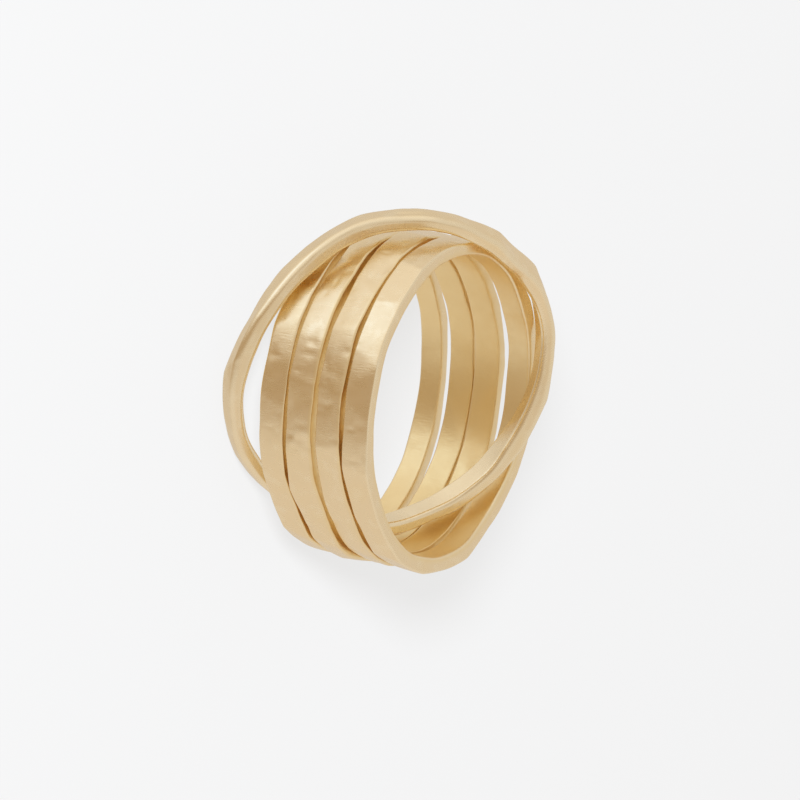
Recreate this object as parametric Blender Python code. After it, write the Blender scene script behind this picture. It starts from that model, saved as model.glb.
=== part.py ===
"""A hammered gold finger ring: four parallel bands and a fifth linked through all of them.

Each band is a closed loop of flat wire. It is a Bezier loop through a few stations, with
a rounded flat section swept along it. Stations are given round the ring's own axis, which
points from the far rim, at band_1, to the near rim, at band_4. The crossing band passes
outside the other four from 0 to 60 degrees and lies inside them from 130 to 270 degrees.
The whole ring lies on its side, on band_1 and on the low loop of the crossing band.
"""

import math

import bmesh
import bpy
import numpy as np
from mathutils import Matrix, Vector

MM = 0.001

# The four parallel bands, in millimetres
FINGER_DIAMETER = 17.5
BAND_THICKNESS = 0.92
EDGE_RADIUS = 0.16
MEAN_RADIUS = FINGER_DIAMETER / 2 + BAND_THICKNESS / 2

# The crossing band, in millimetres
CROSSING_WIDTH = 1.55
CROSSING_THICKNESS = 0.95

# How finely a loop is made
STEPS_PER_STATION = {"parallel": 9, "crossing": 5}
CORNER_STEPS = 2

# How the ring lies: it leans about a level axis, then is turned about the vertical
LEAN_DEG = 8.51
LEAN_AXIS_DEG = 22.61
TURN_DEG = -172.59

# Columns: name, height of the band's middle along the ring's axis, width of its wire
PARALLEL_BANDS = (
    ("band_1", -2.80, 1.62),
    ("band_2", -0.98, 1.72),
    ("band_3", 0.95, 1.73),
    ("band_4", 2.83, 1.64),
)

# How hammering bends each parallel band off a true circle.
# Columns: angle in degrees, outward shift, shift along the axis, roll of the wire in degrees,
# size of the section against its named width and thickness
BAND_BENDS = {
    "band_1": (
        (0, 0.05, -0.06, -2, 1.00),
        (45, 0.03, -0.02, 1, 1.00),
        (90, -0.01, 0.00, -1, 1.00),
        (135, -0.06, 0.06, -6, 1.00),
        (180, -0.07, 0.08, -3, 1.00),
        (225, -0.02, -0.06, 0, 0.95),
        (270, -0.01, -0.22, 1, 0.89),
        (315, 0.02, -0.20, 2, 0.92),
    ),
    "band_2": (
        (0, 0.05, -0.03, 1, 1.00),
        (45, 0.00, 0.01, -3, 1.00),
        (90, 0.01, 0.00, -3, 1.00),
        (135, 0.04, 0.05, 2, 1.00),
        (180, 0.10, 0.05, 0, 1.00),
        (225, 0.06, 0.04, -1, 0.95),
        (270, 0.01, 0.00, -1, 0.89),
        (315, 0.02, -0.02, -1, 0.92),
    ),
    "band_3": (
        (0, -0.04, -0.02, 5, 1.00),
        (45, 0.00, -0.04, 2, 1.00),
        (90, 0.01, 0.02, -5, 1.00),
        (135, -0.01, 0.07, -3, 1.00),
        (180, 0.00, 0.04, 0, 1.00),
        (225, 0.00, -0.08, -4, 0.96),
        (270, -0.04, -0.25, -2, 0.92),
        (315, -0.03, -0.18, 1, 0.93),
    ),
    "band_4": (
        (0, -0.14, 0.04, 0, 1.00),
        (45, -0.06, -0.02, 5, 1.00),
        (90, 0.03, -0.04, 3, 1.00),
        (135, 0.07, 0.03, -1, 1.00),
        (180, 0.12, 0.03, -1, 1.00),
        (225, 0.05, -0.08, 5, 1.00),
        (270, 0.02, 0.00, 8, 0.97),
        (315, -0.04, 0.08, 7, 0.97),
    ),
}

# The route of the crossing band. It lies against the near rim of band_4, passes over the
# other bands from 0 to 60 degrees, loops past the far rim, and comes back inside them.
# Columns: angle in degrees, radius, height along the axis, roll of the wire in degrees,
# size of the section against its named width and thickness
CROSSING_ROUTE = (
    (0.0, 9.85, 3.95, 42, 0.90),
    (10.5, 10.60, 2.40, 23, 0.95),
    (20.5, 10.85, 0.30, 6, 1.00),
    (32.5, 10.75, -1.60, -8, 1.03),
    (47.5, 10.45, -3.05, -19, 1.04),
    (64.5, 10.05, -4.25, -35, 1.02),
    (83.0, 9.65, -5.20, -40, 1.02),
    (102.0, 9.05, -5.65, -41, 1.00),
    (122.5, 8.25, -5.35, -35, 0.99),
    (146.0, 7.70, -4.35, -26, 0.99),
    (169.5, 7.80, -3.00, -16, 0.98),
    (190.5, 8.05, -1.45, -7, 0.97),
    (209.5, 8.00, 0.20, 1, 0.97),
    (228.5, 7.85, 1.95, 10, 1.00),
    (249.0, 7.70, 3.45, 28, 1.07),
    (271.0, 7.95, 4.40, 42, 1.11),
    (292.0, 8.70, 4.75, 44, 1.07),
    (308.0, 9.30, 4.65, 47, 1.04),
    (324.5, 9.25, 4.50, 54, 0.93),
    (343.5, 9.15, 4.55, 55, 0.87),
)

# Columns: base colour, roughness
GOLD_FINISHES = {
    "band_1": ((0.80, 0.58, 0.32), 0.34),
    "band_2": ((0.81, 0.59, 0.33), 0.33),
    "band_3": ((0.80, 0.58, 0.33), 0.35),
    "band_4": ((0.82, 0.60, 0.34), 0.32),
    "crossing_band": ((0.83, 0.61, 0.35), 0.33),
}


def clear_scene():
    """Remove every object that the file opened with."""
    for old in list(bpy.data.objects):
        bpy.data.objects.remove(old, do_unlink=True)


def new_collection(name):
    """Add an empty collection to the scene."""
    collection = bpy.data.collections.new(name)
    bpy.context.scene.collection.children.link(collection)
    return collection


def gold(name):
    """The satin gold of one band."""
    colour, roughness = GOLD_FINISHES[name]
    material = bpy.data.materials.new(name + "_gold")
    material.use_nodes = True
    shader = material.node_tree.nodes["Principled BSDF"]
    shader.inputs["Base Color"].default_value = (*colour, 1.0)
    shader.inputs["Metallic"].default_value = 1.0
    shader.inputs["Roughness"].default_value = roughness
    material.diffuse_color = (*colour, 1.0)
    return material


def section_points(thickness, width):
    """A flat section with rounded corners, thickness along X and width along Y."""
    points = []
    for corner in range(4):
        middle = math.radians(45 + 90 * corner)
        centre_x = math.copysign(thickness / 2 - EDGE_RADIUS, math.cos(middle))
        centre_y = math.copysign(width / 2 - EDGE_RADIUS, math.sin(middle))
        for step in range(CORNER_STEPS + 1):
            angle = math.radians(90 * corner + 90 * step / CORNER_STEPS)
            x = centre_x + EDGE_RADIUS * math.cos(angle)
            y = centre_y + EDGE_RADIUS * math.sin(angle)
            points.append((x, y))
    return points


def section_guide(name, thickness, width, guides):
    """The closed outline that is swept round a band."""
    points = section_points(thickness, width)
    outline = bpy.data.curves.new(name + "_section", "CURVE")
    outline.dimensions = "2D"
    spline = outline.splines.new("POLY")
    spline.points.add(len(points) - 1)
    for point, (x, y) in zip(spline.points, points):
        point.co = (x * MM, y * MM, 0.0, 1.0)
    spline.use_cyclic_u = True
    guide = bpy.data.objects.new(name + "_section", outline)
    guide.hide_render = True
    guide.display_type = "WIRE"
    guides.objects.link(guide)
    return guide


def loop_curve(name, stations, steps, section):
    """A closed Bezier loop through (angle, radius, height, roll, size) stations.

    A positive roll turns the outer face of the wire toward the near rim.
    """
    curve = bpy.data.curves.new(name + "_loop", "CURVE")
    curve.dimensions = "3D"
    curve.twist_mode = "Z_UP"
    curve.bevel_mode = "OBJECT"
    curve.bevel_object = section
    spline = curve.splines.new("BEZIER")
    spline.bezier_points.add(len(stations) - 1)
    for point, (angle_deg, radius, height, roll_deg, size) in zip(spline.bezier_points, stations):
        angle = math.radians(angle_deg)
        place = Vector((radius * math.cos(angle), radius * math.sin(angle), height))
        point.co = place * MM
        point.handle_left_type = "AUTO"
        point.handle_right_type = "AUTO"
        point.tilt = -math.radians(roll_deg)
        point.radius = size
    spline.use_cyclic_u = True
    spline.tilt_interpolation = "CARDINAL"
    spline.radius_interpolation = "CARDINAL"
    spline.resolution_u = steps
    curve.resolution_u = steps
    return curve


def sweep(name, stations, steps, section, ring, root):
    """Make one band: its loop with the section swept along it, as a mesh."""
    curve = loop_curve(name, stations, steps, section)
    loop = bpy.data.objects.new(name + "_loop", curve)
    ring.objects.link(loop)
    bpy.context.view_layer.update()
    graph = bpy.context.evaluated_depsgraph_get()
    mesh = bpy.data.meshes.new_from_object(loop.evaluated_get(graph))
    bpy.data.objects.remove(loop, do_unlink=True)
    bpy.data.curves.remove(curve)

    shaped = bmesh.new()
    shaped.from_mesh(mesh)
    bmesh.ops.remove_doubles(shaped, verts=shaped.verts, dist=0.001 * MM)
    bmesh.ops.recalc_face_normals(shaped, faces=shaped.faces)
    shaped.to_mesh(mesh)
    shaped.free()

    mesh.name = name
    mesh.shade_smooth()
    mesh.set_sharp_from_angle(angle=math.radians(50))
    mesh.materials.clear()
    mesh.materials.append(gold(name))
    band = bpy.data.objects.new(name, mesh)
    band.parent = root
    ring.objects.link(band)
    return band


def parallel_band(name, height, width, ring, guides, root):
    """One of the four bands that lie side by side."""
    stations = [
        (angle, MEAN_RADIUS + outward, height + along, roll, size)
        for angle, outward, along, roll, size in BAND_BENDS[name]
    ]
    section = section_guide(name, BAND_THICKNESS, width, guides)
    return sweep(name, stations, STEPS_PER_STATION["parallel"], section, ring, root)


def crossing_band(ring, guides, root):
    """The band that passes outside the other four on one side and inside them on the other."""
    name = "crossing_band"
    section = section_guide(name, CROSSING_THICKNESS, CROSSING_WIDTH, guides)
    return sweep(name, CROSSING_ROUTE, STEPS_PER_STATION["crossing"], section, ring, root)


def lay_down(bands, root):
    """Lean and turn the ring, then centre it over the origin with its lowest point at zero."""
    along = math.radians(LEAN_AXIS_DEG)
    level_axis = Vector((math.cos(along), math.sin(along), 0.0))
    lean = Matrix.Rotation(math.radians(LEAN_DEG), 4, level_axis)
    turn = Matrix.Rotation(math.radians(TURN_DEG), 4, "Z")
    root.matrix_world = turn @ lean
    bpy.context.view_layer.update()
    corners = np.array(
        [band.matrix_world @ vertex.co for band in bands for vertex in band.data.vertices]
    )
    low = corners.min(axis=0)
    high = corners.max(axis=0)
    root.location = (-(low[0] + high[0]) / 2, -(low[1] + high[1]) / 2, -low[2])
    bpy.context.view_layer.update()


def main():
    clear_scene()
    ring = new_collection("hammered_ring")
    guides = new_collection("guides")
    root = bpy.data.objects.new("ring_axis", None)
    root.empty_display_size = MEAN_RADIUS * MM
    ring.objects.link(root)
    bands = [
        parallel_band(name, height, width, ring, guides, root)
        for name, height, width in PARALLEL_BANDS
    ]
    bands.append(crossing_band(ring, guides, root))
    lay_down(bands, root)


main()
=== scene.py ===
"""The looks of a hammered gold finger ring: five satin bands, a pale floor and soft light.

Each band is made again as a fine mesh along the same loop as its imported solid, and is then
hammered: the outer face gets shallow flats and small dents, the inner face softer flats, and
the rims wander a little.
"""

import math

import bpy
import numpy as np
from bpy.props import FloatProperty, FloatVectorProperty, IntProperty, PointerProperty
from mathutils import Matrix, Vector


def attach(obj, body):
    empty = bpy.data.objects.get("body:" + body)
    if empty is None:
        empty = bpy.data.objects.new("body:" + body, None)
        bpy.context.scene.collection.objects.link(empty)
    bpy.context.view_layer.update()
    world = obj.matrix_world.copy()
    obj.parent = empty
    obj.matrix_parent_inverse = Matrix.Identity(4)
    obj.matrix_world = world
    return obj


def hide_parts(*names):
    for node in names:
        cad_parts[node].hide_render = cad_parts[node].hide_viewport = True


bl_info = {
    "name": "Hammered Five-Band Ring",
    "version": (1, 0, 0),
    "blender": (4, 5, 0),
    "location": "View3D > Sidebar > Ring",
    "description": "Builds the hammered gold bands of a finger ring and a plain studio",
    "category": "Object",
}

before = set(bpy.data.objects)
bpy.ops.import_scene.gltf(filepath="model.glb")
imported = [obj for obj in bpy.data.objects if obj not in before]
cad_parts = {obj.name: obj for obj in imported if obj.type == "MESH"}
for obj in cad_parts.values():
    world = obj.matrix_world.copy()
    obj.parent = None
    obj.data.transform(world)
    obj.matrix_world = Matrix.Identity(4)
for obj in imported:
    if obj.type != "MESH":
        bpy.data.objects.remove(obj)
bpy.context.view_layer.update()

MM = 0.001

# How the ring lies: it leans about a level axis, then is turned about the vertical
LEAN_DEG = 8.51
LEAN_AXIS_DEG = 22.61
TURN_DEG = -172.59

# Where the middle of the ring stands over the floor
RING_PLACE = Vector((0.5047, 0.5396, 5.1250)) * MM

# Columns: name, height of the band's middle along the ring's axis, width of its wire, in mm
PARALLEL_BANDS = (
    ("band_1", -2.80, 1.62),
    ("band_2", -0.98, 1.72),
    ("band_3", 0.95, 1.73),
    ("band_4", 2.83, 1.64),
)

# How hammering bends each parallel band off a true circle.
# Columns: angle in degrees, shift outward and shift along the axis in mm, roll of the wire in
# degrees, size of the section against its named width and thickness
BAND_BENDS = {
    "band_1": (
        (0, 0.05, -0.06, -2, 1.00),
        (45, 0.03, -0.02, 1, 1.00),
        (90, -0.01, 0.00, -1, 1.00),
        (135, -0.06, 0.06, -6, 1.00),
        (180, -0.07, 0.08, -3, 1.00),
        (225, -0.02, -0.06, 0, 0.95),
        (270, -0.01, -0.22, 1, 0.89),
        (315, 0.02, -0.20, 2, 0.92),
    ),
    "band_2": (
        (0, 0.05, -0.03, 1, 1.00),
        (45, 0.00, 0.01, -3, 1.00),
        (90, 0.01, 0.00, -3, 1.00),
        (135, 0.04, 0.05, 2, 1.00),
        (180, 0.10, 0.05, 0, 1.00),
        (225, 0.06, 0.04, -1, 0.95),
        (270, 0.01, 0.00, -1, 0.89),
        (315, 0.02, -0.02, -1, 0.92),
    ),
    "band_3": (
        (0, -0.04, -0.02, 5, 1.00),
        (45, 0.00, -0.04, 2, 1.00),
        (90, 0.01, 0.02, -5, 1.00),
        (135, -0.01, 0.07, -3, 1.00),
        (180, 0.00, 0.04, 0, 1.00),
        (225, 0.00, -0.08, -4, 0.96),
        (270, -0.04, -0.25, -2, 0.92),
        (315, -0.03, -0.18, 1, 0.93),
    ),
    "band_4": (
        (0, -0.14, 0.04, 0, 1.00),
        (45, -0.06, -0.02, 5, 1.00),
        (90, 0.03, -0.04, 3, 1.00),
        (135, 0.07, 0.03, -1, 1.00),
        (180, 0.12, 0.03, -1, 1.00),
        (225, 0.05, -0.08, 5, 1.00),
        (270, 0.04, 0.05, 8, 1.02),
        (315, 0.00, 0.10, 7, 1.00),
    ),
}

# The route of the crossing band: over the others from about 0 to 60 degrees, round the far
# rim, inside the finger hole from about 150 to 260 degrees, and out again over the near rim.
# Columns: angle in degrees, radius and height along the axis in mm, roll of the wire in
# degrees, size of the section against its named width and thickness
CROSSING_ROUTE = (
    (0.0, 9.85, 3.95, 42, 0.90),
    (10.5, 10.60, 2.40, 23, 0.95),
    (20.5, 10.85, 0.30, 6, 1.00),
    (32.5, 10.75, -1.60, -8, 1.03),
    (47.5, 10.45, -3.05, -19, 1.04),
    (64.5, 10.05, -4.25, -35, 1.02),
    (83.0, 9.65, -5.20, -40, 1.02),
    (102.0, 9.05, -5.65, -41, 1.00),
    (122.5, 8.25, -5.35, -35, 0.99),
    (146.0, 7.70, -4.35, -26, 0.99),
    (169.5, 7.80, -3.00, -16, 0.98),
    (190.5, 8.05, -1.45, -7, 0.97),
    (209.5, 8.00, 0.20, 1, 0.97),
    (228.5, 7.85, 1.95, 10, 1.00),
    (249.0, 7.70, 3.45, 28, 1.07),
    (271.0, 7.95, 4.40, 42, 1.11),
    (292.0, 8.70, 4.72, 44, 1.07),
    (308.0, 9.30, 4.62, 47, 1.04),
    (324.5, 9.25, 4.57, 54, 0.93),
    (343.5, 9.15, 4.55, 55, 0.87),
)

# How each band was hammered.
# Columns: seed, flats round the loop, how unevenly they are spaced, how flat they are (1 is
# dead flat), how much they differ in depth, in mm, and in tilt, as a slope, small dents, their
# depth in mm
HAMMERING = {
    "band_1": (11, 25, 0.32, 0.50, 0.009, 0.034, 150, 0.013),
    "band_2": (12, 31, 0.34, 0.62, 0.011, 0.050, 200, 0.018),
    "band_3": (13, 30, 0.34, 0.62, 0.011, 0.050, 200, 0.018),
    "band_4": (14, 24, 0.32, 0.50, 0.009, 0.036, 150, 0.013),
    "crossing_band": (15, 19, 0.30, 0.50, 0.012, 0.055, 150, 0.015),
}

# How round the edges of each band have worn.
# Columns: radius in mm of the outer near, inner near, inner far and outer far edge
WORN_EDGES = {
    "band_1": (0.12, 0.07, 0.16, 0.16),
    "band_2": (0.12, 0.07, 0.10, 0.09),
    "band_3": (0.12, 0.07, 0.10, 0.09),
    "band_4": (0.14, 0.18, 0.10, 0.09),
    "crossing_band": (0.34, 0.26, 0.16, 0.34),
}

# Painted reflection and painted light on the sides that mirror other metal. Each value is how deep
# a warm colour is painted there in place of the light bounced between the bands, where 1 is
# deepest. A value of -1 is palest: painted light on the crossing band's underside, which brightens
# what the other bands mirror.
# Columns: on the near side, on the far side, on the inner face
PAINTED_BOUNCE_TINT = {
    "band_1": (0.30, 0.10, 0.85),
    "band_2": (0.55, 0.15, 0.95),
    "band_3": (0.45, 0.15, 0.90),
    "band_4": (0.00, 0.15, 0.70),
    "crossing_band": (0.00, 0.00, -1.00),
}

# How finely a section is drawn: steps round a corner, across its width and its thickness
CORNER_STEPS = 7
WIDE_STEPS = 16
NARROW_STEPS = 6

# How flats meet: the softness of the edge between two, in mm, the most of a plane's height that
# counts, in such softnesses, and their tilt across the band against that along it
FLAT_BLEND = 0.012
FLAT_REACH = 60
CROSS_TILT = 1.3

# The share of each face that the flats sink into the metal, and how far the inner flats may
# swell out of it, in mm
OUTER_LEVEL = 0.7
INNER_LEVEL = 0.4
INNER_SWELL = 0.06

# The inner flats against the outer ones: how flat, how deep and how tilted they are
INNER_FLATNESS = 0.4
INNER_DEPTH = 0.4
INNER_TILT = 0.5

# The small dents: the least and greatest half length and half breadth in mm, the least and
# greatest depth against the named one, and how far from its middle a dent has run out, as the
# square of the distance in half sizes
DENT_LENGTHS = (0.12, 0.55)
DENT_BREADTHS = (0.12, 0.50)
DENT_SHARES = (0.3, 1.6)
DENT_REACH = 40.0

# How the rims wander, and the share of the widest swing that is taken off the width.
# Columns: fewest waves round the loop, one more than the most waves, depth of each in mm
RIM_WAVES = ((5, 18, 0.005), (18, 40, 0.0012))
RIM_TRIM = 0.25

# How near to the surface a point counts as on it, and where a face's shift starts and is full,
# in mm from the middle of the wire and from its surface
FACE_MARGIN = 0.01
SHIFT_START = -0.1
SHIFT_FULL = 0.05

# Where the painted colour of a side starts and is full, in mm from that side. On the bands' sides
# this is the deep painted reflection of the neighbouring gold, and on the crossing band's inner
# face it is the pale painted light. On the inner face it starts at the middle of the wire.
NEAR_MARK = (0.24, 0.04)
FAR_MARK = (0.06, 0.01)
INNER_MARK = 0.05

# The noises that make the satin brushing, and the share that each adds to the height. The
# share of the fine one changes with the worked one, between two values.
# Columns: stretch, scale, detail, turn
BRUSHING = {
    "fine": ((1.0, 1.0, 0.09), 14.0, 2.0, (0.0, 0.0, 0.0)),
    "crossed": ((1.0, 1.0, 0.12), 9.0, 2.0, (0.5, -0.4, 0.0)),
    "grain": ((1.0, 1.0, 0.8), 5.0, 4.0, (0.0, 0.0, 0.0)),
    "soft": ((1.0, 1.0, 0.7), 1.6, 2.0, (0.0, 0.0, 0.0)),
    "worked": ((1.0, 1.0, 1.0), 0.9, 1.0, (0.0, 0.0, 0.0)),
}
BRUSHING_SHARES = {"crossed": 0.22, "grain": 0.40, "soft": 1.0}
WORKED_SHARES = (0.15, 0.60)
NOISE_ROUGHNESS = 0.55

# Between which values of its noise each pattern comes in
WORKED_ZONE = (0.45, 0.65)
STREAK_ZONE = (0.35, 0.65)
PATCH_ZONE = (0.48, 0.72)
RUBBED_ZONE = (0.50, 0.72)
WIDE_ZONE = (0.3, 0.7)

# The gold's patches: how densely they lie and the most that they change its colour. Last comes the
# most that the edge mark pales the gold, which is a painted highlight on the worn corners and
# painted light on the crossing band's underside. The same share also scales how much the worn
# corners are polished.
PATCH_SCALE = 0.33
PATCH_SHARE = 0.2
CLOUD_SCALE = 1.3
CLOUD_SHARE = 0.5
EDGE_WEAR_AND_HIGHLIGHT_SHARE = 0.7

# The gold's roughness where it is dull and where it is rubbed, how much its worn edges take off
# that, and how much the sides and the brush streaks add to it
ROUGHNESS_DULL = 0.30
ROUGHNESS_RUBBED = 0.24
EDGE_POLISH = 0.06
SIDE_DULLNESS = 0.10
STREAK_DULLNESS = 0.03

# How far a band's pattern is moved for each step of its seed, in mm
PATTERN_STEP = 31.0

# The camera, in the ring's own axes: how far its upright is tipped off angle 0 of the ring, and
# how far it stands round from the ring's axis
CAMERA_TIP_DEG = 8.490
CAMERA_TURN_DEG = 60.538

# Its distance in millimetres, and how far it stands to the right of the ring's middle and under it
CAMERA_DISTANCE = 600.0
CAMERA_SIDE_STEP = 0.06
CAMERA_DROP = 0.28

# Its focal length and sensor in millimetres, and the nearest and farthest that it sees, in metres
CAMERA_LENS = 470.3
CAMERA_SENSOR = 36.0
CAMERA_NEAREST = 0.01
CAMERA_FARTHEST = 20.0

# What the gold mirrors: pale walls and a pale table, a glow and a soft light overhead, and a
# dim room at eye level.
# Columns: name, red, green and blue
SURROUNDINGS = {
    "wall": (0.70, 0.632, 0.565),
    "table": (0.74, 0.655, 0.575),
    "overhead": (0.88, 0.805, 0.73),
    "softbox": (1.05, 1.085, 1.175),
    "room": (0.46, 0.333, 0.210),
}

# Which way three of them lie in the photo's studio: degrees round from its viewer, and up
OVERHEAD_WAY = (-55, 60)
SOFTBOX_WAY = (-60, 46)
ROOM_WAY = (-45, 0)

# Where each of the three starts and is full: cosines of the angle from its own way
OVERHEAD_REACH = (0.50, 0.90)
SOFTBOX_REACH = (0.92, 0.98)
ROOM_REACH = (-0.1, 0.75)

# Where the room starts to fade and is gone above, where it starts and is full below, and where
# the table starts and is full: sines of the height over eye level
ROOM_TOP = (0.14, 0.50)
ROOM_BASE = (-0.55, -0.06)
TABLE_REACH = (-0.35, -0.7)

# The light that draws the shadow: its width and its place, in metres
KEY_SIZE = 0.12
KEY_PLACE = (-0.096, -0.446, 0.31)

# The floor: half its width in metres, how dull and how shiny it is, and how dark and how dense
# its faint mottling is
FLOOR_REACH = 3.0
FLOOR_ROUGHNESS = 0.9
FLOOR_SHINE = 0.1
MOTTLE_SHADE = 0.99
MOTTLE_SCALE = 40.0

# How often light may bounce between the bands
BOUNCES = 48


class RingSizes(bpy.types.PropertyGroup):
    """Sizes of the bands, and how finely they are made."""

    finger_diameter: FloatProperty(
        name="Finger diameter",
        description="Inside diameter of the four parallel bands",
        default=17.5 * MM,
        unit="LENGTH",
    )
    thickness: FloatProperty(
        name="Band thickness",
        description="Thickness of the parallel bands' wire",
        default=0.92 * MM,
        unit="LENGTH",
    )
    crossing_width: FloatProperty(
        name="Crossing width",
        description="Width of the crossing band's wire",
        default=1.55 * MM,
        unit="LENGTH",
    )
    crossing_thickness: FloatProperty(
        name="Crossing thickness",
        description="Thickness of the crossing band's wire",
        default=0.95 * MM,
        unit="LENGTH",
    )
    crown: FloatProperty(
        name="Crown",
        description="How much lower the outer face is at its edges than in its middle",
        default=0.03 * MM,
        unit="LENGTH",
    )
    rings: IntProperty(
        name="Rings",
        description="How many sections are set round each loop",
        default=720,
        min=80,
    )


class GoldFinish(bpy.types.PropertyGroup):
    """Colours and brushing of the gold."""

    satin: FloatVectorProperty(
        name="Satin gold",
        description="Colour of the brushed faces",
        default=(0.96, 0.82, 0.56),
        subtype="COLOR",
        size=3,
    )
    # The pale colour shows real rubbed wear in random clouds. It is also a painted highlight on
    # the worn corners and painted light on the crossing band's underside.
    pale: FloatVectorProperty(
        name="Pale gold",
        description="Colour where the metal is rubbed bright",
        default=(1.0, 0.905, 0.67),
        subtype="COLOR",
        size=3,
    )
    # The deep colour is the gold's own warmer tone in random patches. On the sides between the
    # bands and on the inner faces it is a painted reflection of the neighbouring gold.
    deep: FloatVectorProperty(
        name="Deep gold",
        description="Colour of the warmer patches and of the sides between the bands",
        default=(0.96, 0.79, 0.44),
        subtype="COLOR",
        size=3,
    )
    brush_depth: FloatProperty(
        name="Brush depth",
        description="Depth of the fine brushing",
        default=0.010 * MM,
        precision=7,
        unit="LENGTH",
    )


class StudioLook(bpy.types.PropertyGroup):
    """Colours and light of the plain studio."""

    floor: FloatVectorProperty(
        name="Floor",
        description="Colour of the plain floor",
        default=(0.095, 0.10, 0.107),
        subtype="COLOR",
        size=3,
    )
    backdrop: FloatVectorProperty(
        name="Backdrop",
        description="Colour seen beyond the floor",
        default=(0.91, 0.915, 0.91),
        subtype="COLOR",
        size=3,
    )
    floor_glow: FloatProperty(
        name="Floor glow",
        description="Even light that the floor sends by itself, which keeps its shadow faint",
        default=0.745,
    )
    key_power: FloatProperty(
        name="Key power",
        description="Power of the soft light that draws the ring's shadow on the floor",
        default=6.0,
        unit="POWER",
    )


def ring_rotation():
    """The turn that takes the ring's own axes to the way it lies."""
    along = math.radians(LEAN_AXIS_DEG)
    level_axis = Vector((math.cos(along), math.sin(along), 0.0))
    lean = Matrix.Rotation(math.radians(LEAN_DEG), 4, level_axis)
    return Matrix.Rotation(math.radians(TURN_DEG), 4, "Z") @ lean


def camera_axes():
    """The right, the up and the backward direction of the camera, in the ring's own axes."""
    tip = math.radians(CAMERA_TIP_DEG)
    turn = math.radians(CAMERA_TURN_DEG)
    up = Vector((math.cos(tip), 0.0, -math.sin(tip)))
    along = Vector((math.sin(tip), 0.0, math.cos(tip)))
    toward = along * math.cos(turn) + Vector((0.0, math.sin(turn), 0.0))
    return up.cross(toward), up, toward


def smooth_step(value, low, high):
    """0 below low, 1 above high, and a smooth rise between."""
    t = np.clip((value - low) / (high - low), 0.0, 1.0)
    return t * t * (3 - 2 * t)


def section_outline(thickness, width, radii):
    """A flat section with rounded corners: thickness along X, width along Y.

    The corners and their radii go round as outer near, inner near, inner far, outer far.
    Returns its points, and for each how far it is round a corner: 1 in the corner's middle.
    """
    points = []
    bends = []
    for corner, radius in enumerate(radii):
        middle = math.radians(45 + 90 * corner)
        centre_x = math.copysign(thickness / 2 - radius, math.cos(middle))
        centre_y = math.copysign(width / 2 - radius, math.sin(middle))
        for step in range(CORNER_STEPS + 1):
            share = step / CORNER_STEPS
            angle = math.radians(90 * corner + 90 * share)
            x = centre_x + radius * math.cos(angle)
            y = centre_y + radius * math.sin(angle)
            points.append((x, y))
            bends.append(math.sin(math.pi * share))
        # The straight stretch to the next corner
        along_width = corner % 2 == 1
        steps = WIDE_STEPS if along_width else NARROW_STEPS
        turned = math.radians(90 * (corner + 1))
        length = (width if along_width else thickness) - radius - radii[(corner + 1) % 4]
        for step in range(1, steps):
            run = length * step / steps
            points.append((x - run * math.sin(turned), y + run * math.cos(turned)))
            bends.append(0.0)
    return np.array(points), np.array(bends)


def swept_grid(name, stations, steps, outline):
    """Sweep the outline along a closed Bezier loop: points as (rings, outline, 3), in mm."""
    section = bpy.data.curves.new(name + "_section", "CURVE")
    section.dimensions = "2D"
    edge = section.splines.new("POLY")
    edge.points.add(len(outline) - 1)
    for point, (x, y) in zip(edge.points, outline):
        point.co = (x, y, 0.0, 1.0)
    edge.use_cyclic_u = True
    guide = bpy.data.objects.new(name + "_section", section)
    bpy.context.scene.collection.objects.link(guide)

    curve = bpy.data.curves.new(name + "_loop", "CURVE")
    curve.dimensions = "3D"
    curve.twist_mode = "Z_UP"
    curve.bevel_mode = "OBJECT"
    curve.bevel_object = guide
    spline = curve.splines.new("BEZIER")
    spline.bezier_points.add(len(stations) - 1)
    for point, (angle_deg, radius, height, roll_deg, size) in zip(spline.bezier_points, stations):
        angle = math.radians(angle_deg)
        point.co = (radius * math.cos(angle), radius * math.sin(angle), height)
        point.handle_left_type = "AUTO"
        point.handle_right_type = "AUTO"
        point.tilt = -math.radians(roll_deg)
        point.radius = size
    spline.use_cyclic_u = True
    spline.tilt_interpolation = "CARDINAL"
    spline.radius_interpolation = "CARDINAL"
    spline.resolution_u = steps
    curve.resolution_u = steps
    loop = bpy.data.objects.new(name + "_loop", curve)
    bpy.context.scene.collection.objects.link(loop)
    bpy.context.view_layer.update()

    graph = bpy.context.evaluated_depsgraph_get()
    mesh = bpy.data.meshes.new_from_object(loop.evaluated_get(graph))
    points = np.empty(len(mesh.vertices) * 3)
    mesh.vertices.foreach_get("co", points)
    bpy.data.meshes.remove(mesh)
    bpy.data.objects.remove(loop, do_unlink=True)
    bpy.data.curves.remove(curve)
    bpy.data.objects.remove(guide, do_unlink=True)
    bpy.data.curves.remove(section)
    return points.reshape(-1, len(outline), 3)


def wrapped(difference):
    """A difference of angles in degrees, brought to -180 to 180."""
    return (difference + 180.0) % 360.0 - 180.0


def flats(angle, across, random, count, uneven, flatness, depth, tilt, radius):
    """Height of the hammered flats over the true loop, in mm: the lowest of many planes."""
    total = np.zeros(np.broadcast(angle, across).shape)
    spacing = 360.0 / count
    for number in range(count):
        centre = spacing * (number + random.uniform(-uneven, uneven))
        along = np.radians(wrapped(angle - centre)) * radius
        low = random.normal(0.0, depth)
        lean_along = random.normal(0.0, tilt)
        lean_across = random.normal(0.0, tilt * CROSS_TILT)
        plane = low + lean_along * along + lean_across * across
        plane = plane + flatness * along ** 2 / (2 * radius)
        total = total + np.exp(np.clip(-plane / FLAT_BLEND, -FLAT_REACH, FLAT_REACH))
    return -FLAT_BLEND * np.log(total)


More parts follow.
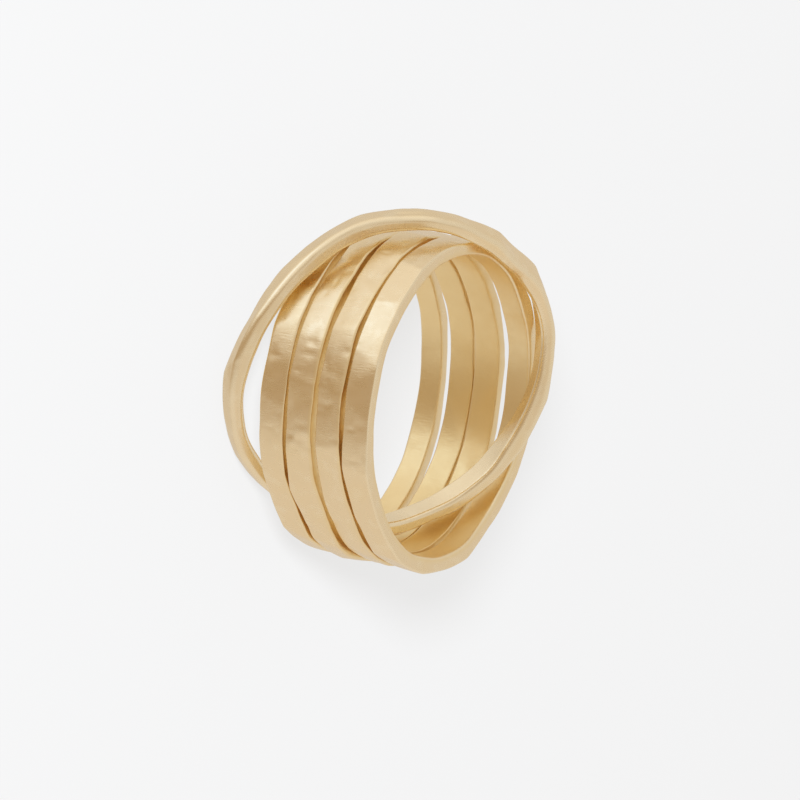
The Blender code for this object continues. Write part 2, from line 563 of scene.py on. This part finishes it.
def small_dents(angle, across, random, count, depth, width, radius):
    """Height that the small dents add to one face, in mm: 0 or less."""
    dented = np.zeros(np.broadcast(angle, across).shape)
    for _ in range(count):
        centre = random.uniform(0.0, 360.0)
        middle = random.uniform(-0.5, 0.5) * width
        length = random.uniform(*DENT_LENGTHS)
        breadth = random.uniform(*DENT_BREADTHS)
        sink = depth * random.uniform(*DENT_SHARES)
        along = np.radians(wrapped(angle - centre)) * radius
        reach = (along / length) ** 2 + ((across - middle) / breadth) ** 2
        dented -= sink * np.exp(-np.minimum(reach, DENT_REACH))
    return dented


def waver(angle, random, lowest, highest, depth):
    """A smooth wandering round the loop, in mm."""
    total = np.zeros_like(angle)
    for turns in range(lowest, highest):
        phase = random.uniform(0.0, 360.0)
        total = total + random.normal(0.0, depth) * np.sin(np.radians(turns * angle + phase))
    return total


def rim_shift(angle, random):
    """How far one rim wanders off its straight run, in mm."""
    wander = sum(waver(angle, random, *waves) for waves in RIM_WAVES)
    return wander - wander.max() * RIM_TRIM


def unit_rows(vectors):
    """The rows brought to length 1."""
    return vectors / np.linalg.norm(vectors, axis=1)[:, None]


def hammered(name, grid, outline, thickness, width, sizes):
    """Hammer the swept grid: flats and dents outside, softer flats inside, wandering rims."""
    seed, count, uneven, flatness, depth, tilt, dents, dent_depth = HAMMERING[name]
    random = np.random.default_rng(seed)
    centre = grid.mean(axis=1)
    angle = np.degrees(np.arctan2(centre[:, 1], centre[:, 0]))[:, None]
    radius = np.hypot(centre[:, 0], centre[:, 1]).mean()

    x = outline[None, :, 0]
    y = outline[None, :, 1]
    is_outer = outline[:, 0] > thickness / 2 - FACE_MARGIN
    is_inner = outline[:, 0] < FACE_MARGIN - thickness / 2
    is_near = outline[:, 1] > width / 2 - FACE_MARGIN
    is_far = outline[:, 1] < FACE_MARGIN - width / 2
    outward = unit_rows(grid[:, is_outer].mean(axis=1) - grid[:, is_inner].mean(axis=1))
    sideways = unit_rows(grid[:, is_near].mean(axis=1) - grid[:, is_far].mean(axis=1))

    outer = smooth_step(x, SHIFT_START, thickness / 2 - SHIFT_FULL)
    inner = smooth_step(-x, SHIFT_START, thickness / 2 - SHIFT_FULL)
    struck = flats(angle, y, random, count, uneven, flatness, depth, tilt, radius)
    struck = struck - np.quantile(struck, OUTER_LEVEL)
    struck = struck + small_dents(angle, y, random, dents, dent_depth, width, radius)
    crown = -(sizes.crown / MM) * (2 * y / width) ** 2
    softly = (flatness * INNER_FLATNESS, depth * INNER_DEPTH, tilt * INNER_TILT)
    pressed = flats(angle, y, random, count, uneven, *softly, radius)
    pressed = np.quantile(pressed, INNER_LEVEL) - pressed
    outward_shift = outer * (struck + crown) + inner * np.maximum(pressed, -INNER_SWELL)

    near = smooth_step(y, 0.0, width / 2)
    far = smooth_step(-y, 0.0, width / 2)
    near_shift = near * rim_shift(angle, random)
    far_shift = far * rim_shift(angle, random)
    side_shift = near_shift - far_shift

    shaped = grid + outward_shift[..., None] * outward[:, None, :]
    shaped = shaped + side_shift[..., None] * sideways[:, None, :]
    return shaped


def wire_places(points, outline):
    """Where each point is on the wire, in mm, as if the loop were a true circle."""
    centre = points.mean(axis=1)
    angle = np.arctan2(centre[:, 1], centre[:, 0])[:, None]
    radius = np.hypot(centre[:, 0], centre[:, 1]).mean() + outline[None, :, 0]
    across = np.broadcast_to(outline[None, :, 1], points.shape[:2])
    return np.stack([radius * np.cos(angle), radius * np.sin(angle), across], axis=-1)


def band_mesh(name, points, place, marks):
    """A closed mesh over the grid of points, with what its material reads on its points.

    The marks hold one row of values, which is the same all the way round the loop.
    """
    rings, around, _ = points.shape
    index = np.arange(rings * around).reshape(rings, around)
    ahead = np.roll(index, -1, axis=0)
    beside = np.roll(index, -1, axis=1)
    corners = np.stack([index, ahead, np.roll(ahead, -1, axis=1), beside], axis=-1)
    mesh = bpy.data.meshes.new(name)
    mesh.from_pydata((points.reshape(-1, 3) * MM).tolist(), [], corners.reshape(-1, 4).tolist())
    mesh.update()
    for label, values in marks.items():
        layer = mesh.attributes.new(label, "FLOAT", "POINT")
        layer.data.foreach_set("value", np.tile(values, rings).astype(np.float32))
    layer = mesh.attributes.new("wire_place", "FLOAT_VECTOR", "POINT")
    layer.data.foreach_set("vector", place.reshape(-1).astype(np.float32))
    mesh.shade_smooth()
    return mesh


def node(tree, kind, **settings):
    """Add a shader node and set its properties."""
    made = tree.nodes.new(kind)
    for key, value in settings.items():
        setattr(made, key, value)
    return made


def math_node(tree, operation, first, second):
    """Add a math node; each side is a socket or a number."""
    made = node(tree, "ShaderNodeMath", operation=operation)
    for socket, value in zip(made.inputs, (first, second)):
        if isinstance(value, bpy.types.NodeSocket):
            tree.links.new(value, socket)
        else:
            socket.default_value = value
    return made.outputs[0]


def ranged(tree, value, from_low, from_high, to_low, to_high):
    """Map a value smoothly from one range to another."""
    made = node(tree, "ShaderNodeMapRange", interpolation_type="SMOOTHSTEP")
    tree.links.new(value, made.inputs["Value"])
    made.inputs["From Min"].default_value = from_low
    made.inputs["From Max"].default_value = from_high
    made.inputs["To Min"].default_value = to_low
    made.inputs["To Max"].default_value = to_high
    return made.outputs["Result"]


def mixed(tree, factor, first, second):
    """Mix two colours; each is a socket or a colour."""
    made = node(tree, "ShaderNodeMix", data_type="RGBA")
    tree.links.new(factor, made.inputs[0])
    for socket, value in ((made.inputs[6], first), (made.inputs[7], second)):
        if isinstance(value, bpy.types.NodeSocket):
            tree.links.new(value, socket)
        else:
            socket.default_value = value
    return made.outputs[2]


def noise(tree, position, stretch, scale, detail, turn=(0.0, 0.0, 0.0)):
    """A noise value over a stretched and turned position."""
    mapping = node(tree, "ShaderNodeMapping")
    mapping.inputs["Rotation"].default_value = turn
    mapping.inputs["Scale"].default_value = stretch
    tree.links.new(position, mapping.inputs["Vector"])
    made = node(tree, "ShaderNodeTexNoise")
    made.inputs["Scale"].default_value = scale
    made.inputs["Detail"].default_value = detail
    made.inputs["Roughness"].default_value = NOISE_ROUGHNESS
    tree.links.new(mapping.outputs["Vector"], made.inputs["Vector"])
    return made.outputs["Fac"]


def new_group(name, inputs, outputs):
    """A shader node group with the given inputs and outputs, each a name and a type."""
    group = bpy.data.node_groups.new(name, "ShaderNodeTree")
    for in_out, sockets in (("INPUT", inputs), ("OUTPUT", outputs)):
        for label, kind in sockets:
            group.interface.new_socket(label, in_out=in_out, socket_type=kind)
    enter = node(group, "NodeGroupInput")
    leave = node(group, "NodeGroupOutput")
    return group, enter, leave


def brushing_group():
    """Fine satin brushing across the bands, with a few crossed scratches."""
    group, enter, leave = new_group(
        "satin_brushing",
        (("Position", "NodeSocketVector"),),
        (("Height", "NodeSocketFloat"), ("Streaks", "NodeSocketFloat")),
    )
    position = enter.outputs["Position"]
    layers = {name: noise(group, position, *row) for name, row in BRUSHING.items()}
    worked = ranged(group, layers["worked"], *WORKED_ZONE, *WORKED_SHARES)
    height = math_node(group, "MULTIPLY", layers["fine"], worked)
    for name, share in BRUSHING_SHARES.items():
        part = math_node(group, "MULTIPLY", layers[name], share)
        height = math_node(group, "ADD", height, part)
    group.links.new(height, leave.inputs["Height"])
    streaks = ranged(group, layers["fine"], *STREAK_ZONE, 0.0, 1.0)
    group.links.new(streaks, leave.inputs["Streaks"])
    return group


def tone_group():
    """The gold's colour and roughness: warmer patches, faint streaks, pale worn edges that also
    carry a painted highlight, painted light on the crossing band's underside, and a painted
    reflection of the neighbouring gold on the sides between the bands.
    """
    group, enter, leave = new_group(
        "gold_tone",
        (
            ("Position", "NodeSocketVector"),
            ("Edge Wear And Painted Light", "NodeSocketFloat"),
            ("Side", "NodeSocketFloat"),
            ("Streaks", "NodeSocketFloat"),
            ("Satin", "NodeSocketColor"),
            ("Pale", "NodeSocketColor"),
            ("Deep", "NodeSocketColor"),
        ),
        (("Color", "NodeSocketColor"), ("Roughness", "NodeSocketFloat")),
    )
    position = enter.outputs["Position"]
    patches = noise(group, position, (1, 1, 1), PATCH_SCALE, 2.0)
    patches = ranged(group, patches, *PATCH_ZONE, 0.0, PATCH_SHARE)
    # The deep colour comes from two sources: random warmer patches, which are the gold's own tone,
    # and the side mark, which is a painted reflection of the neighbouring gold.
    patches_and_painted_bounce = math_node(group, "MAXIMUM", patches, enter.outputs["Side"])
    clouds = noise(group, position, (1, 1, 1), CLOUD_SCALE, 4.0)
    rubbed = ranged(group, clouds, *RUBBED_ZONE, 0.0, CLOUD_SHARE)
    colour = mixed(group, rubbed, enter.outputs["Satin"], enter.outputs["Pale"])
    colour = mixed(group, patches_and_painted_bounce, colour, enter.outputs["Deep"])
    # The edge mark pales the gold with a painted highlight on the worn corners and painted light
    # on the crossing band's underside. The same mark also lowers the roughness where the corners
    # are worn.
    edge = math_node(group, "MULTIPLY", enter.outputs["Edge Wear And Painted Light"], EDGE_WEAR_AND_HIGHLIGHT_SHARE)
    colour = mixed(group, edge, colour, enter.outputs["Pale"])
    group.links.new(colour, leave.inputs["Color"])
    rough = ranged(group, clouds, *WIDE_ZONE, ROUGHNESS_DULL, ROUGHNESS_RUBBED)
    polished = math_node(group, "MULTIPLY", edge, EDGE_POLISH)
    rough = math_node(group, "SUBTRACT", rough, polished)
    duller = math_node(group, "MULTIPLY", enter.outputs["Side"], SIDE_DULLNESS)
    rough = math_node(group, "ADD", rough, duller)
    streaked = math_node(group, "MULTIPLY", enter.outputs["Streaks"], STREAK_DULLNESS)
    group.links.new(math_node(group, "ADD", rough, streaked), leave.inputs["Roughness"])
    return group


def shared_group(name, make):
    """The named node group, made on its first use."""
    return bpy.data.node_groups.get(name) or make()


def gold_material(name, finish, shift):
    """Satin yellow gold for one band; shift moves its pattern so that no two bands match."""
    material = bpy.data.materials.new(name + "_gold")
    material.use_nodes = True
    tree = material.node_tree
    shader = tree.nodes["Principled BSDF"]
    shader.inputs["Metallic"].default_value = 1.0

    place = node(tree, "ShaderNodeAttribute", attribute_name="wire_place")
    moved = node(tree, "ShaderNodeMapping")
    moved.inputs["Location"].default_value = shift
    tree.links.new(place.outputs["Vector"], moved.inputs["Vector"])
    brushing = node(tree, "ShaderNodeGroup")
    brushing.node_tree = shared_group("satin_brushing", brushing_group)
    tone = node(tree, "ShaderNodeGroup")
    tone.node_tree = shared_group("gold_tone", tone_group)
    tree.links.new(moved.outputs["Vector"], brushing.inputs["Position"])
    tree.links.new(moved.outputs["Vector"], tone.inputs["Position"])
    tree.links.new(brushing.outputs["Streaks"], tone.inputs["Streaks"])
    # The edge mark carries a painted highlight and painted light, and the side mark carries a
    # painted reflection.
    for label, socket in (("edge", "Edge Wear And Painted Light"), ("side", "Side")):
        mark = node(tree, "ShaderNodeAttribute", attribute_name=label)
        tree.links.new(mark.outputs["Fac"], tone.inputs[socket])
    tone.inputs["Satin"].default_value = (*finish.satin, 1.0)
    tone.inputs["Pale"].default_value = (*finish.pale, 1.0)
    tone.inputs["Deep"].default_value = (*finish.deep, 1.0)
    tree.links.new(tone.outputs["Color"], shader.inputs["Base Color"])
    tree.links.new(tone.outputs["Roughness"], shader.inputs["Roughness"])

    bump = node(tree, "ShaderNodeBump")
    bump.inputs["Strength"].default_value = 1.0
    bump.inputs["Distance"].default_value = finish.brush_depth
    tree.links.new(brushing.outputs["Height"], bump.inputs["Height"])
    tree.links.new(bump.outputs["Normal"], shader.inputs["Normal"])
    return material


def painted_light_marks(name, outline, bends, thickness, width):
    """How pale ("edge") and how deep ("side") the gold is painted at each point of the section.
    The pale is a painted highlight on the worn corners and painted light on the crossing band's
    underside. The deep is a painted reflection of the neighbouring gold on the sides between the
    bands.
    """
    near_painted_bounce, far_painted_bounce, inner_painted_bounce = PAINTED_BOUNCE_TINT[name]
    near = smooth_step(outline[:, 1], width / 2 - NEAR_MARK[0], width / 2 - NEAR_MARK[1])
    far = smooth_step(-outline[:, 1], width / 2 - FAR_MARK[0], width / 2 - FAR_MARK[1])
    inside = smooth_step(-outline[:, 0], 0.0, thickness / 2 - INNER_MARK)
    # Painted reflection: a deep warm colour on the sides and the inner face, put in place of the
    # light bounced between the bands.
    side = np.maximum(near * near_painted_bounce, far * far_painted_bounce)
    side = np.maximum(side, inside * inner_painted_bounce)
    # Painted highlight in the pale colour on the worn corners, left off the near corners that are
    # painted deep.
    edge = bends * (1 - near * min(near_painted_bounce * 2, 1))
    # Painted light: the crossing band's underside is painted pale so that the other bands mirror
    # it less dark.
    edge = np.maximum(edge, -inside * inner_painted_bounce)
    return {"edge": edge, "side": side}


def make_band(name, stations, steps, thickness, width, context):
    """Make one hammered band, put it where the ring lies, and let it stand for its solid."""
    sizes = context.scene.ring_sizes
    finish = context.scene.gold_finish
    outline, bends = section_outline(thickness, width, WORN_EDGES[name])
    grid = swept_grid(name, stations, steps, outline)
    points = hammered(name, grid, outline, thickness, width, sizes)
    marks = painted_light_marks(name, outline, bends, thickness, width)
    mesh = band_mesh("hammered_" + name, points, wire_places(grid, outline), marks)
    mesh.transform(Matrix.Translation(RING_PLACE) @ ring_rotation())
    shift = PATTERN_STEP * HAMMERING[name][0]
    mesh.materials.append(gold_material(name, finish, (shift, 0.0, 0.0)))
    piece = bpy.data.objects.new("hammered_" + name, mesh)
    context.scene.collection.objects.link(piece)
    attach(piece, "root")
    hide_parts(name)
    return piece


class RING_OT_parallel_bands(bpy.types.Operator):
    """Make the four bands that lie side by side."""

    bl_idname = "ring.parallel_bands"
    bl_label = "Parallel bands"

    def execute(self, context):
        sizes = context.scene.ring_sizes
        thickness = sizes.thickness / MM
        mean_radius = (sizes.finger_diameter / MM + thickness) / 2
        for name, height, width in PARALLEL_BANDS:
            stations = [
                (angle, mean_radius + outward, height + along, roll, size)
                for angle, outward, along, roll, size in BAND_BENDS[name]
            ]
            steps = sizes.rings // len(stations)
            make_band(name, stations, steps, thickness, width, context)
        return {"FINISHED"}


class RING_OT_crossing_band(bpy.types.Operator):
    """Make the band that crosses over the other four."""

    bl_idname = "ring.crossing_band"
    bl_label = "Crossing band"

    def execute(self, context):
        sizes = context.scene.ring_sizes
        steps = sizes.rings // len(CROSSING_ROUTE)
        thickness = sizes.crossing_thickness / MM
        width = sizes.crossing_width / MM
        make_band("crossing_band", CROSSING_ROUTE, steps, thickness, width, context)
        return {"FINISHED"}


def direction_share(tree, direction, axis):
    """How much a direction points along an axis, from -1 to 1."""
    made = node(tree, "ShaderNodeVectorMath", operation="DOT_PRODUCT")
    tree.links.new(direction, made.inputs[0])
    made.inputs[1].default_value = axis
    return made.outputs["Value"]


def studio_way(turn_deg, rise_deg):
    """A direction in the photo's studio, so far round from its viewer and so far up."""
    rotation = ring_rotation().to_3x3()
    overhead = rotation @ Vector((1.0, 0.0, 0.0))
    toward = rotation @ camera_axes()[2]
    front = (toward - toward.dot(overhead) * overhead).normalized()
    side = overhead.cross(front)
    turn = math.radians(turn_deg)
    rise = math.radians(rise_deg)
    level = front * math.cos(turn) + side * math.sin(turn)
    return overhead * math.sin(rise) + level * math.cos(rise)


def studio_world(look):
    """Pale surroundings for the camera, and a soft studio for the gold to mirror."""
    world = bpy.data.worlds.new("studio")
    world.use_nodes = True
    tree = world.node_tree
    background = tree.nodes["Background"]
    place = node(tree, "ShaderNodeTexCoord")
    direction = place.outputs["Generated"]

    rise = direction_share(tree, direction, studio_way(0, 90))
    toward_room = direction_share(tree, direction, studio_way(*ROOM_WAY))
    toward_box = direction_share(tree, direction, studio_way(*SOFTBOX_WAY))
    toward_glow = direction_share(tree, direction, studio_way(*OVERHEAD_WAY))

    colours = {name: (*colour, 1.0) for name, colour in SURROUNDINGS.items()}
    under = ranged(tree, rise, *TABLE_REACH, 0.0, 1.0)
    over = ranged(tree, toward_glow, *OVERHEAD_REACH, 0.0, 1.0)
    seen = mixed(tree, under, colours["wall"], colours["table"])
    seen = mixed(tree, over, seen, colours["overhead"])
    room_top = ranged(tree, rise, *ROOM_TOP, 1.0, 0.0)
    room_base = ranged(tree, rise, *ROOM_BASE, 0.0, 1.0)
    room_side = ranged(tree, toward_room, *ROOM_REACH, 0.0, 1.0)
    room = math_node(tree, "MULTIPLY", room_top, room_base)
    room = math_node(tree, "MULTIPLY", room, room_side)
    seen = mixed(tree, room, seen, colours["room"])
    box = ranged(tree, toward_box, *SOFTBOX_REACH, 0.0, 1.0)
    seen = mixed(tree, box, seen, colours["softbox"])
    ray = node(tree, "ShaderNodeLightPath")
    final = mixed(tree, ray.outputs["Is Camera Ray"], seen, (*look.backdrop, 1.0))
    tree.links.new(final, background.inputs["Color"])
    bpy.context.scene.world = world


def plain_floor(look):
    """A wide pale floor that the ring lies on."""
    mesh = bpy.data.meshes.new("floor")
    signs = ((-1, -1), (1, -1), (1, 1), (-1, 1))
    corners = [(FLOOR_REACH * x, FLOOR_REACH * y, 0) for x, y in signs]
    mesh.from_pydata(corners, [], [(0, 1, 2, 3)])
    material = bpy.data.materials.new("floor_paint")
    material.use_nodes = True
    tree = material.node_tree
    shader = tree.nodes["Principled BSDF"]
    place = node(tree, "ShaderNodeTexCoord")
    mottle = noise(tree, place.outputs["Object"], (1, 1, 1), MOTTLE_SCALE, 2.0)
    factor = ranged(tree, mottle, *WIDE_ZONE, 0.0, 1.0)
    shade = tuple(value * MOTTLE_SHADE for value in look.floor)
    colour = mixed(tree, factor, (*look.floor, 1.0), (*shade, 1.0))
    tree.links.new(colour, shader.inputs["Base Color"])
    shader.inputs["Roughness"].default_value = FLOOR_ROUGHNESS
    shader.inputs["Specular IOR Level"].default_value = FLOOR_SHINE
    shader.inputs["Emission Color"].default_value = (1.0, 1.0, 1.0, 1.0)
    shader.inputs["Emission Strength"].default_value = look.floor_glow
    mesh.materials.append(material)
    floor = bpy.data.objects.new("floor", mesh)
    floor.visible_glossy = False
    bpy.context.scene.collection.objects.link(floor)


def key_light(look):
    """A soft light at the viewer's side, which only the floor takes notice of."""
    light = bpy.data.lights.new("key", "AREA")
    light.shape = "DISK"
    light.size = KEY_SIZE
    light.energy = look.key_power
    key = bpy.data.objects.new("key", light)
    key.location = KEY_PLACE
    away = key.location.normalized()
    key.rotation_mode = "QUATERNION"
    key.rotation_quaternion = away.to_track_quat("Z", "Y")
    key.visible_glossy = False
    bpy.context.scene.collection.objects.link(key)


def photo_camera():
    """The camera, at the photograph's angle to the ring."""
    placement = Matrix.Translation(RING_PLACE) @ ring_rotation()
    right, up, toward = camera_axes()
    spot = toward * CAMERA_DISTANCE + right * CAMERA_SIDE_STEP - up * CAMERA_DROP
    axes = Matrix((right, up, toward)).transposed().to_4x4()
    data = bpy.data.cameras.new("camera")
    data.lens = CAMERA_LENS
    data.sensor_width = CAMERA_SENSOR
    data.clip_start = CAMERA_NEAREST
    data.clip_end = CAMERA_FARTHEST
    camera = bpy.data.objects.new("camera", data)
    camera.matrix_world = placement @ Matrix.Translation(spot * MM) @ axes
    bpy.context.scene.collection.objects.link(camera)
    bpy.context.scene.camera = camera


class RING_OT_studio(bpy.types.Operator):
    """Make the floor, the light, the surroundings and the camera."""

    bl_idname = "ring.studio"
    bl_label = "Studio"

    def execute(self, context):
        look = context.scene.studio_look
        plain_floor(look)
        key_light(look)
        studio_world(look)
        photo_camera()
        context.scene.view_settings.view_transform = "Standard"
        context.scene.cycles.max_bounces = BOUNCES
        context.scene.cycles.glossy_bounces = BOUNCES
        return {"FINISHED"}


class RING_PT_panel(bpy.types.Panel):
    """Lists the sizes and colours, and the operators."""

    bl_idname = "RING_PT_panel"
    bl_label = "Hammered ring"
    bl_space_type = "VIEW_3D"
    bl_region_type = "UI"
    bl_category = "Ring"

    def draw(self, context):
        layout = self.layout
        scene = context.scene
        for group in (scene.ring_sizes, scene.gold_finish, scene.studio_look):
            column = layout.column()
            for key in group.bl_rna.properties.keys():
                if key not in ("rna_type", "name"):
                    column.prop(group, key)
        for operator in OPERATORS:
            layout.operator(operator.bl_idname)


OPERATORS = (RING_OT_parallel_bands, RING_OT_crossing_band, RING_OT_studio)
CLASSES = (RingSizes, GoldFinish, StudioLook, *OPERATORS, RING_PT_panel)


def register():
    """Make the classes and their settings known to Blender."""
    for each in CLASSES:
        bpy.utils.register_class(each)
    bpy.types.Scene.ring_sizes = PointerProperty(type=RingSizes)
    bpy.types.Scene.gold_finish = PointerProperty(type=GoldFinish)
    bpy.types.Scene.studio_look = PointerProperty(type=StudioLook)


def unregister():
    """Take the settings and the classes away again."""
    del bpy.types.Scene.studio_look
    del bpy.types.Scene.gold_finish
    del bpy.types.Scene.ring_sizes
    for each in reversed(CLASSES):
        bpy.utils.unregister_class(each)


def main():
    """Build the ring and its studio."""
    register()
    bpy.ops.ring.parallel_bands()
    bpy.ops.ring.crossing_band()
    bpy.ops.ring.studio()


if __name__ == "__main__":
    main()
